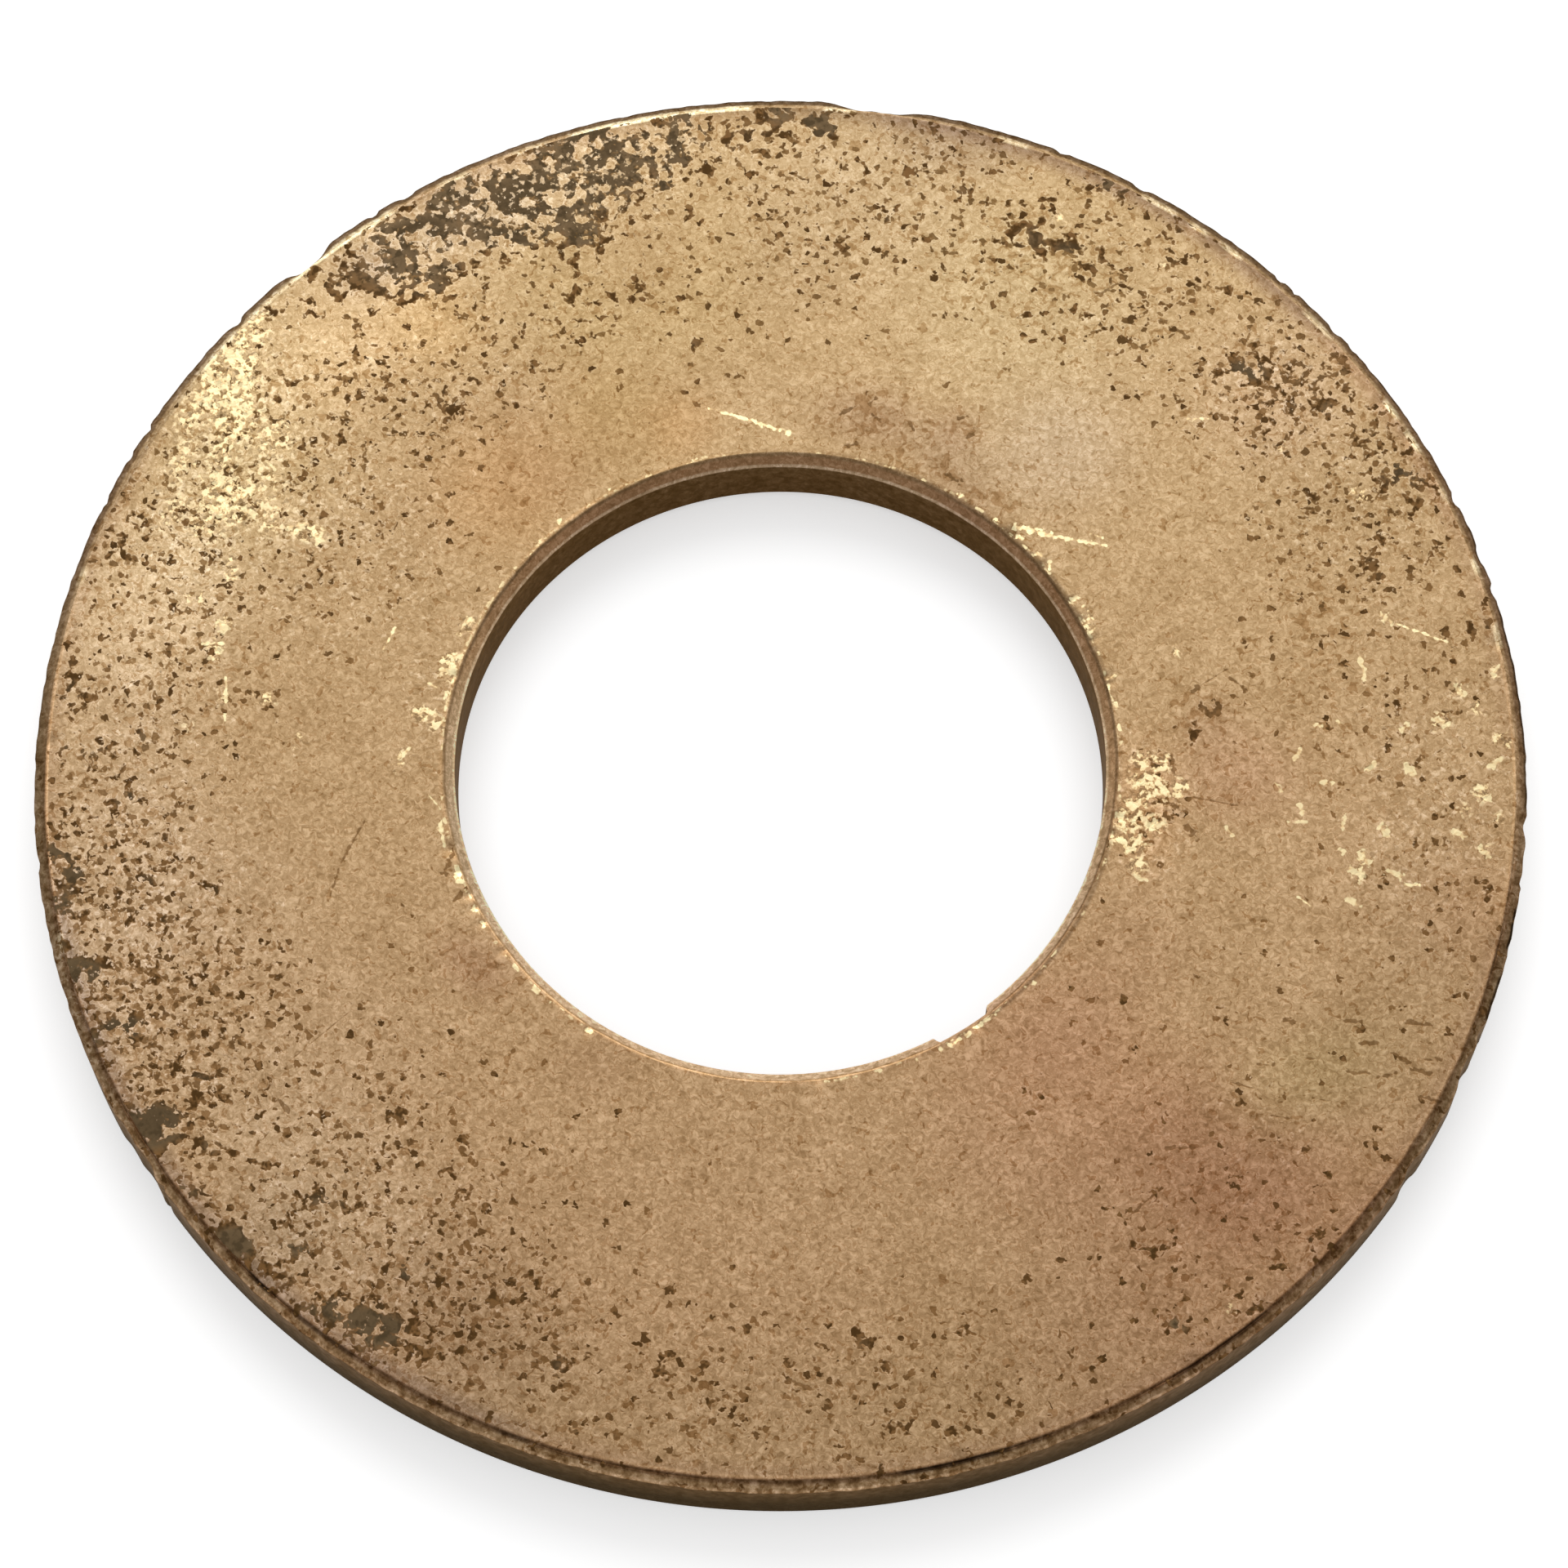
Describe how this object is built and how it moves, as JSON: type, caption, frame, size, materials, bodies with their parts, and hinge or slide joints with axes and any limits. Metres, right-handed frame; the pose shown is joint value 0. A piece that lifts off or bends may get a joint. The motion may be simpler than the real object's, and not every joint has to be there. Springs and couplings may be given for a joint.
{
  "type": "flat washer",
  "caption": "Flat round bronze washer with a wide plain face, a central bore and small chamfers on its edges, tarnished and scuffed with use.",
  "frame": {"origin": "centre of the bore on the lower face, the face that the washer lies on", "axes": "+Z along the washer's axis, up out of the face that shows; +Y points away from the viewer and +X to the right"},
  "size_m": [0.0508, 0.0508, 0.0029],
  "materials": {
    "bronze": "dull turned bronze, satin, with dark tarnish specks and a few bright scratches"
  },
  "bodies": {
    "root": {"washer": "bronze"}
  },
  "joints": []
}
